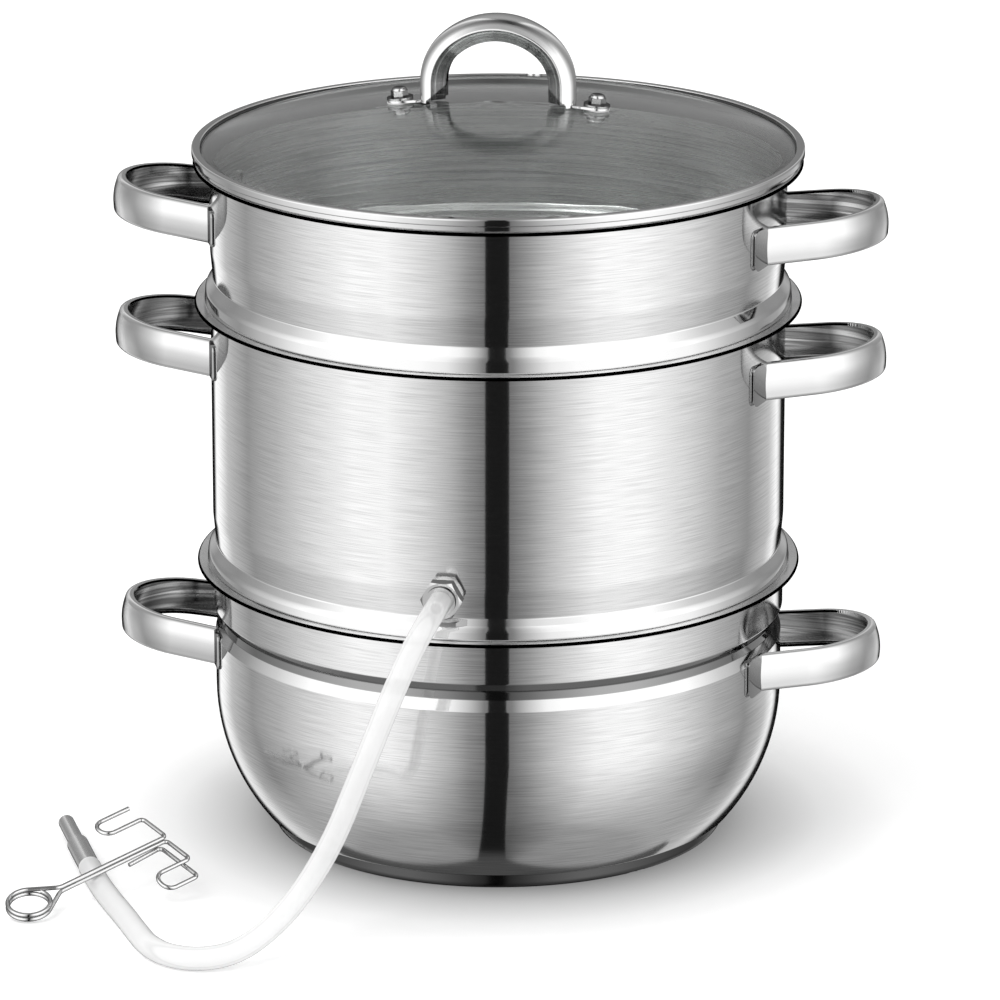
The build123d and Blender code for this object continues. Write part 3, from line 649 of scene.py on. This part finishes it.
def rounded(points, bends):
    """Places and left-hand normals along a line whose corners are arcs"""
    places = [Vector(point) for point in points]
    heading = (places[1] - places[0]).normalized()
    line = [(places[0], Vector((-heading.y, heading.x)))]
    for before, here, after, bend in zip(places, places[1:], places[2:], bends):
        first = (here - before).normalized()
        second = (after - here).normalized()
        turn = atan2(first.x * second.y - first.y * second.x, first.dot(second))
        side = 1 if turn > 0 else -1
        start = here - first * bend * tan(abs(turn) / 2)
        middle = start + Vector((-first.y, first.x)) * bend * side
        count = max(2, ceil(abs(turn) / radians(arc_step)))
        for step in range(count + 1):
            heading = first.copy()
            heading.rotate(Matrix.Rotation(turn * step / count, 2))
            left = Vector((-heading.y, heading.x))
            line.append((middle - left * bend * side, left))
    heading = (places[-1] - places[-2]).normalized()
    line.append((places[-1], Vector((-heading.y, heading.x))))
    return line


def offset(line, distance):
    return [(place + left * distance, left) for place, left in line]


def facing(line, side):
    """A line's strip of a turned surface: places with normals to its left (1) or right (-1)"""
    return [(place, left * side) for place, left in line]


def arc(middle, radius, start, end):
    """Places and outward normals along an arc, in degrees"""
    count = max(2, ceil(abs(end - start) / bead_step))
    turns = [radians(start + (end - start) * step / count) for step in range(count + 1)]
    normals = [Vector((cos(turn), sin(turn))) for turn in turns]
    return [(Vector(middle) + normal * radius, normal) for normal in normals]


def link(name, mesh, materials, body, *nodes):
    """A piece that stands for CAD nodes and moves with their body"""
    piece = bpy.data.objects.new(name, mesh)
    bpy.context.collection.objects.link(piece)
    for material in materials:
        piece.data.materials.append(material)
    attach(piece, body)
    if nodes:
        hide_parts(*nodes)
    return piece


class Form:
    """Faces with exact normals, made of strips of a section that are carried from station to station"""

    def __init__(self):
        self.vertices = []
        self.normals = []
        self.faces = []
        self.slots = []

    def add_strips(self, strips, stations, closed=False, cut=None, slot=None):
        """A station is where the section's origin, X and Y go. A cut moves the points of the end stations."""
        for strip in strips:
            first = len(self.vertices)
            count = len(strip)
            for index, (origin, x_axis, y_axis) in enumerate(stations):
                for place, normal in strip:
                    point = origin + x_axis * place.x + y_axis * place.y
                    if cut and index in (0, len(stations) - 1):
                        point = cut(point)
                    self.vertices.append(point)
                    self.normals.append(x_axis * normal.x + y_axis * normal.y)
            along = self.vertices[first + 1] - self.vertices[first]
            onwards = self.vertices[first + count] - self.vertices[first]
            if along.length == 0 or onwards.length == 0:
                along = self.vertices[first + count - 1] - self.vertices[first + count - 2]
                onwards = self.vertices[first + 2 * count - 1] - self.vertices[first + count - 1]
            flip = onwards.cross(along).dot(self.normals[first + count - 1]) < 0
            rings = len(stations) if closed else len(stations) - 1
            for ring in range(rings):
                here = first + ring * count
                there = first + (ring + 1) % len(stations) * count
                for row in range(count - 1):
                    corners = (here + row, there + row, there + row + 1, here + row + 1)
                    self.faces.append(corners[::-1] if flip else corners)
                    middle = (strip[row][0] + strip[row + 1][0]) / 2
                    self.slots.append(slot(middle) if slot else 0)

    def add_cap(self, points, normals, slot):
        """One flat face"""
        first = len(self.vertices)
        self.vertices += points
        self.normals += normals
        corners = tuple(range(first, first + len(points)))
        turn = (points[1] - points[0]).cross(points[2] - points[1])
        self.faces.append(corners if turn.dot(normals[0]) > 0 else corners[::-1])
        self.slots.append(slot)

    def add_plate(self, outline, thickness, bevel, put, slot):
        """A plate on a surface: its outline, and where a point of the plan goes, with the surface's normal"""
        edge = [(Vector((0, 0)), Vector((1, 0))), (Vector((0, thickness - bevel)), Vector((1, 0)))]
        edge += arc((-bevel, thickness - bevel), bevel, 0, 90)[1:]
        stations = []
        count = len(outline)
        for index, place in enumerate(outline):
            along = outline[(index + 1) % count] - outline[index - 1]
            origin, up = put(place)
            ahead = put(place + along.normalized())[0] - origin
            stations.append((origin, ahead.cross(up).normalized(), up))
        self.add_strips([edge], stations, closed=True, slot=lambda place: slot)
        for place in (edge[-1][0], edge[0][0]):
            points = [origin + out * place.x + up * place.y for origin, out, up in stations]
            side = 1 if place.y else -1
            self.add_cap(points, [up * side for origin, out, up in stations], slot)

    def mesh(self, name):
        made = bpy.data.meshes.new(name)
        made.from_pydata([point * mm for point in self.vertices], [], self.faces)
        made.polygons.foreach_set("material_index", self.slots)
        made.shade_smooth()
        made.normals_split_custom_set_from_vertices(self.normals)
        return made


def turned_mesh(name, strips, slot=None, inside=None):
    """Strips of radius and height turned about Z. The inside strip takes slot 2."""
    turns = [2 * pi * step / turn_steps for step in range(turn_steps)]
    stations = [(Vector((0, 0, 0)), Vector((cos(turn), sin(turn), 0)), Vector((0, 0, 1))) for turn in turns]
    form = Form()
    form.add_strips(strips, stations, closed=True, slot=slot)
    if inside:
        form.add_strips([inside], stations, closed=True, slot=lambda place: 2)
    return form.mesh(name)


def pot_mesh(name, line, top, slot):
    """A pot's wall of sheet, with its rolled lip"""
    outside, inside, *ends = sheet_strips(line, sheet)
    return turned_mesh(name, [outside, *ends, bead_strip(top)], slot, inside)


def sheet_strips(line, thickness):
    """Both faces and both cut ends of a sheet on the left of a line"""
    inner = offset(line, thickness)
    strips = [facing(line, -1), facing(inner, 1)]
    for end, way in ((0, -1), (-1, 1)):
        place, left = line[end]
        normal = Vector((left.y, -left.x)) * way
        strips.append([(place, normal), (inner[end][0], normal)])
    return strips


def lip_line(top):
    return [(wall_radius, top - sheet), (lip_radius - lip_bead, top - sheet)]


def bead_strip(top):
    return arc((lip_radius - lip_bead, top - lip_bead), lip_bead, -180, 90)


def band_line(seat, band_height):
    return [
        (skirt_radius, seat),
        (band_radius, seat),
        (band_bulge_radius, seat + band_bulge_share * band_height),
        (neck_radius, seat + band_height),
        (wall_radius, seat + band_height + wall_rounding_height),
    ]


def brushed_between(*ranges, groove=(0, 0)):
    """Slot 0, brushed, in the ranges of height, slot 3, darker steel as painted shade, in the groove, slot 1,
    polished, elsewhere
    """
    def slot(place):
        if groove[0] < place.y < groove[1]:
            return 3
        return 0 if any(low < place.y < high for low, high in ranges) else 1

    return slot


def make_pan(steels):
    low, high = pan_groove_heights
    points = [
        (0, base_height), (pan_floor_radius, base_height), (pan_belly_radius, base_height + pan_knee_rise),
        (pan_belly_radius, pan_shoulder_height), (pan_groove_radius, low), (pan_groove_radius, high),
        (wall_radius, pan_collar_height),
    ]
    line = rounded(points + lip_line(pan_top), pan_bends + [lip_bend])
    collar = (pan_groove_shade_heights[1], pan_top - lip_bead)
    slot = brushed_between((0, pan_brushed_height), collar, groove=pan_groove_shade_heights)
    mesh = pot_mesh("pan_wall", line, pan_top, slot)
    link("pan_wall", mesh, steels, "water_pan", "pan_body")


def make_kettle(steels):
    points = [
        (kettle_hole_radius, kettle_floor_height), (kettle_floor_radius, kettle_floor_height),
        (kettle_floor_radius, kettle_seat), (skirt_radius, kettle_seat),
    ]
    points += band_line(pan_top, kettle_band_height) + lip_line(kettle_top)
    line = rounded(points, kettle_trough_bends + band_bends + [lip_bend])
    slot = brushed_between((pan_top + kettle_band_height, kettle_top - lip_bead))
    mesh = pot_mesh("kettle_wall", line, kettle_top, slot)
    link("kettle_wall", mesh, steels, "juice_kettle", "kettle_body")


def make_basket(steels):
    points = [(floor_plate_radius, basket_seat), (skirt_radius, basket_seat)]
    points += band_line(kettle_top, basket_band_height) + lip_line(basket_top)
    line = rounded(points, basket_floor_bends + band_bends + [lip_bend])
    slot = brushed_between((kettle_top + basket_band_height, basket_top - lip_bead))
    mesh = pot_mesh("basket_wall", line, basket_top, slot)
    link("basket_wall", mesh, steels, "fruit_basket", "basket_body")


def make_rim(steel):
    """The formed ring that holds the glass"""
    top = basket_top + rim_height
    step = top - rim_band_height
    points = [
        (rim_locator_radius, basket_top - rim_locator_depth), (rim_locator_radius, basket_top),
        (rim_leg_radius, basket_top), (rim_leg_radius, step), (rim_radius, step), (rim_radius, top),
        (rim_inner_radius + rim_bead_radius, top),
    ]
    bead = arc((rim_inner_radius + rim_bead_radius, top - rim_bead_radius), rim_bead_radius, 90, 450)
    strips = sheet_strips(rounded(points, rim_bends), rim_sheet) + [bead]
    link("lid_rim_ring", turned_mesh("lid_rim_ring", strips), [steel], "lid", "lid_rim")


def plan_path(start, heading, runs):
    """Places and headings along straight runs and arcs: each run's length and its turn in degrees"""
    place = Vector(start)
    stations = [(place.copy(), heading)]
    for length, turn in runs:
        count = max(ceil(length / path_step), ceil(abs(turn) / path_step))
        bend = radians(turn) / count
        for step in range(count):
            chord = length / count * (sin(bend / 2) / (bend / 2) if bend else 1)
            middle = heading + bend / 2
            place += Vector((cos(middle), sin(middle))) * chord
            heading += bend
            stations.append((place.copy(), heading))
    return stations


def strap_stations(height, pot_radius, side):
    """Stations of a side handle, from one root round the nose to the other. Side is 1 at +X, -1 at -X."""
    start = (wall_radius - strap_root_inset, strap_half_width)
    bend = strap_first_heading - strap_nose_heading
    shoulder = (strap_shoulder_radius * radians(-bend), bend)
    straight = (strap_straight, 0)
    crest = plan_path(start, -radians(strap_first_heading), [straight, shoulder])[-1][0]
    nose_turn = 2 * (90 - strap_nose_heading)
    nose = (crest.y / cos(radians(strap_nose_heading)) * radians(nose_turn), -nose_turn)
    tilt = Matrix.Rotation(-radians(strap_tilt), 3, "Y")
    turn = Matrix.Rotation(0 if side > 0 else pi, 3, "Z")
    lift = Vector((pot_radius, 0, height))
    stations = []
    runs = [straight, shoulder, nose, shoulder, straight]
    for place, heading in plan_path(start, -radians(strap_first_heading), runs):
        origin = tilt @ Vector((place.x - wall_radius, place.y, 0)) + lift
        inwards = tilt @ Vector((sin(heading), -cos(heading), 0))
        stations.append((turn @ origin, turn @ inwards, turn @ (tilt @ Vector((0, 0, 1)))))
    return stations


def tab_outline(side):
    """Plan of a side handle's tab: distance along the wall, and height from its middle"""
    root = strap_half_width - strap_sheet
    end = root + tab_length
    half = tab_height / 2
    outline = [Vector((root, -half))]
    for corner in (-1, 1):
        middle = Vector((end - tab_corner, corner * (half - tab_corner)))
        turns = [radians(turn) for turn in range(0, 91, bead_step)]
        bend = [middle + Vector((cos(turn), corner * sin(turn))) * tab_corner for turn in turns]
        outline += bend[::-1] if corner < 0 else bend
    outline.append(Vector((root, half)))
    return [Vector((place.x * side, place.y)) for place in outline]


def make_side_handle(pot, side, steels):
    height, pot_radius = handle_roots[pot]
    seat = pot_radius + hair_gap
    half = strap_height / 2
    section = [(strap_depth, half), (strap_crown, half), (0, 0), (strap_crown, -half), (strap_depth, -half)]
    strips = sheet_strips(rounded(section, strap_bends), strap_sheet)
    stations = strap_stations(height, pot_radius, side)
    forward = (stations[1][0] - stations[0][0]).normalized()

    def onto_wall(point):
        """Slides a point along its root's straight run until it meets the wall"""
        way = Vector((forward.x, forward.y if point.y * side > 0 else -forward.y, forward.z))
        flat = way.x**2 + way.y**2
        across = point.x * way.x + point.y * way.y
        inside = point.x**2 + point.y**2 - seat**2
        return point + way * ((sqrt(across**2 - flat * inside) - across) / flat)

    def on_seat(place):
        """Where a point of the tab's plan lies on the pot's wall"""
        normal = Vector((sqrt(seat**2 - place.x**2) * side, place.x, 0))
        return normal + Vector((0, 0, height + place.y)), normal.normalized()

    form = Form()
    form.add_strips(strips[:1], stations, cut=onto_wall)
    form.add_strips(strips[1:2], stations, cut=onto_wall, slot=lambda place: 1)
    form.add_strips(strips[2:], stations, cut=onto_wall, slot=lambda place: 3)
    for way in (1, -1):
        form.add_plate(tab_outline(way), strap_sheet, tab_bevel, on_seat, 2)
    name = pot + "_handle_" + ("right" if side > 0 else "left")
    link(name + "_strap", form.mesh(name), steels, handle_bodies[pot], name)


def dome_drop(radius):
    """How far the glass falls below its crown at a radius"""
    return glass_sphere_radius - sqrt(glass_sphere_radius**2 - radius**2)


def make_arch(steels):
    """The lid handle: an arch of hollow section, and its two bolted tabs"""
    top = glass_crown_height + arch_height
    turn = radians(arch_shoulder_angle)
    crown_turn = 2 * (90 - arch_shoulder_angle)
    crown_radius = (arch_half_width - arch_shoulder_radius * (1 - cos(turn))) / cos(turn)
    leg_top = top - crown_radius * (1 - sin(turn)) - arch_shoulder_radius * sin(turn)
    foot = glass_crown_height - dome_drop(arch_half_width)
    leg = (leg_top - foot, 0)
    shoulder = (arch_shoulder_radius * turn, arch_shoulder_angle)
    crown = (crown_radius * radians(crown_turn), crown_turn)
    stations = []
    for place, heading in plan_path((arch_half_width, foot), pi / 2, [leg, shoulder, crown, shoulder, leg]):
        inwards = Vector((-sin(heading), 0, cos(heading)))
        stations.append((Vector((place.x, 0, place.y)), inwards, Vector((0, 1, 0))))
    tab_top = foot + arch_tab_floor + arch_sheet

    def onto_foot(point):
        """Lifts a point of a leg's end to the cut that leans in over the glass"""
        inset = max(0, arch_half_width - arch_foot_inset - abs(point.x))
        rise = inset * tan(radians(arch_foot_angle))
        return Vector((point.x, point.y, tab_top + rise if inset else foot + arch_tab_floor))

    form = Form()
    strips = sheet_strips(rounded(arch_section, arch_bends), arch_sheet)
    form.add_strips(strips[:1], stations, cut=onto_foot, slot=lambda place: int(place.x > arch_crease))
    form.add_strips(strips[1:], stations, cut=onto_foot, slot=lambda place: 1)
    run = bolt_place - arch_half_width + arch_sheet
    half = arch_tab_width / 2
    turns = [radians(turn) for turn in range(-90, 91, tab_end_step)]
    outline = [Vector((-run, -half))]
    outline += [Vector((cos(turn), sin(turn))) * half for turn in turns]
    outline.append(Vector((-run, half)))
    middle = Vector((0, 0, glass_crown_height - glass_sphere_radius))
    for side in (1, -1):
        foot_place = Vector((bolt_place * side, 0, sqrt(glass_sphere_radius**2 - bolt_place**2)))
        normal = foot_place.normalized()
        along = Vector((0, 1, 0)).cross(normal) * side
        floor = middle + foot_place + normal * arch_tab_floor

        def on_glass(place):
            return floor + along * place.x + Vector((0, 1, 0)) * place.y, normal

        form.add_plate(outline, arch_sheet, arch_tab_bevel, on_glass, 0)
    link("lid_arch", form.mesh("lid_arch"), steels, "lid", "lid_handle")


def make_basket_floor(steel):
    """The perforated plate: a filled outline with rings of holes"""
    curve = bpy.data.curves.new("basket_floor", "CURVE")
    curve.dimensions = "2D"
    curve.fill_mode = "BOTH"
    curve.extrude = sheet / 2 * mm
    places = [(0, 0)]
    for ring in range(1, hole_rings + 1):
        count = ring * holes_per_ring_step
        turns = [2 * pi * place / count for place in range(count)]
        places += [(cos(turn) * ring * hole_pitch, sin(turn) * ring * hole_pitch) for turn in turns]
    add_circle(curve, (0, 0), floor_plate_radius, plate_sides)
    for place in places:
        add_circle(curve, place, hole_radius, hole_sides)
    link("basket_floor", curve, [steel], "fruit_basket")


def add_circle(curve, middle, radius, sides):
    """A closed line of straight sides in a curve"""
    spline = curve.splines.new("POLY")
    spline.points.add(sides - 1)
    for side, point in enumerate(spline.points):
        turn = 2 * pi * side / sides
        height = basket_seat + sheet / 2
        place = Vector((middle[0] + radius * cos(turn), middle[1] + radius * sin(turn), height))
        point.co = (*place * mm, 1)
    spline.use_cyclic_u = True


def make_hose(silicone):
    curve = bpy.data.curves.new("hose", "CURVE")
    curve.dimensions = "3D"
    curve.bevel_depth = hose_radius * mm
    curve.bevel_resolution = 8
    curve.resolution_u = 10
    spline = curve.splines.new("NURBS")
    spline.points.add(len(hose_points) - 1)
    for point, place in zip(spline.points, hose_points):
        point.co = (*place, 1)
    spline.order_u = 3
    spline.use_endpoint_u = True
    hose = link("hose", curve, [silicone], "juice_kettle", "juice_hose")
    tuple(hose_points[0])


def dress(material, node):
    """Gives a CAD node a material"""
    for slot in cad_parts[node].material_slots:
        slot.material = material


def make_stage():
    """A white floor with a painted shadow round the pan that also keeps the cast shadow, and a soft lamp"""
    corners = [(-1, -1, 0), (1, -1, 0), (1, 1, 0), (-1, 1, 0)]
    mesh = bpy.data.meshes.new("floor")
    mesh.from_pydata([Vector(corner) * floor_half_size for corner in corners], [], [(0, 1, 2, 3)])
    floor = bpy.data.objects.new("floor", mesh)
    bpy.context.collection.objects.link(floor)
    material, tree = new_material("floor")
    seen, rays = seen_rays(tree)
    place = add(tree, "ShaderNodeTexCoord").outputs["Object"]
    distance = add(tree, "ShaderNodeVectorMath", {0: place}, operation="LENGTH").outputs["Value"]
    reach = math(tree, "DIVIDE", distance, floor_reach)
    # The floor's colour darkens towards the pan: a painted shadow
    matte = add(tree, "ShaderNodeBsdfDiffuse", {"Color": ramp(tree, reach, floor_shadow_shares)})
    strength = math(tree, "MULTIPLY", seen, floor_glow)
    glow = add(tree, "ShaderNodeEmission", {"Color": grey(1), "Strength": strength})
    both = add(tree, "ShaderNodeAddShader", {0: matte.outputs[0], 1: glow.outputs[0]})
    finish_material(tree, both.outputs[0])
    floor.data.materials.append(material)
    floor.visible_glossy = False
    floor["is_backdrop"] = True
    light = bpy.data.lights.new("key", "AREA")
    light.energy = key_energy
    light.size = key_size
    lamp = bpy.data.objects.new("key", light)
    lamp.location = key_place
    lamp.rotation_euler = Vector(key_place).to_track_quat("Z", "Y").to_euler()
    lamp.visible_glossy = False
    bpy.context.collection.objects.link(lamp)


bpy.context.scene.view_settings.view_transform = "Standard"
make_camera()
make_world()
make_hose(make_silicone())
made = {name: make_smooth_steel(name, *values) for name, values in smooth_steel_shares.items()}
made |= {name: make_rubber(name, *values) for name, values in rubber_shares.items()}
made["clear_glass"] = make_glass_material()
polished = made["polished_steel"]
pot_steels = [make_brushed_steel(), polished, make_inside_steel(), made["groove_shade_steel"]]
make_pan(pot_steels)
make_kettle(pot_steels)
make_basket(pot_steels)
make_basket_floor(polished)
make_rim(polished)
make_arch([make_bowed_steel("arch_steel", 0, arch_bow), make_arch_inside()])
strap_steels = [
    make_bowed_steel("strap_steel", strap_bow, 0), make_inner_steel(), made["tab_shade_steel"],
    make_bowed_steel("strap_edge", strap_bow, strap_bow),
]
for pot in handle_roots:
    for side in (1, -1):
        make_side_handle(pot, side, strap_steels)
for name, nodes in dressed_nodes.items():
    for node in nodes:
        dress(made[name], node)
make_stage()

[[list(corner) for corner in box] for box in (cad_box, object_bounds())]
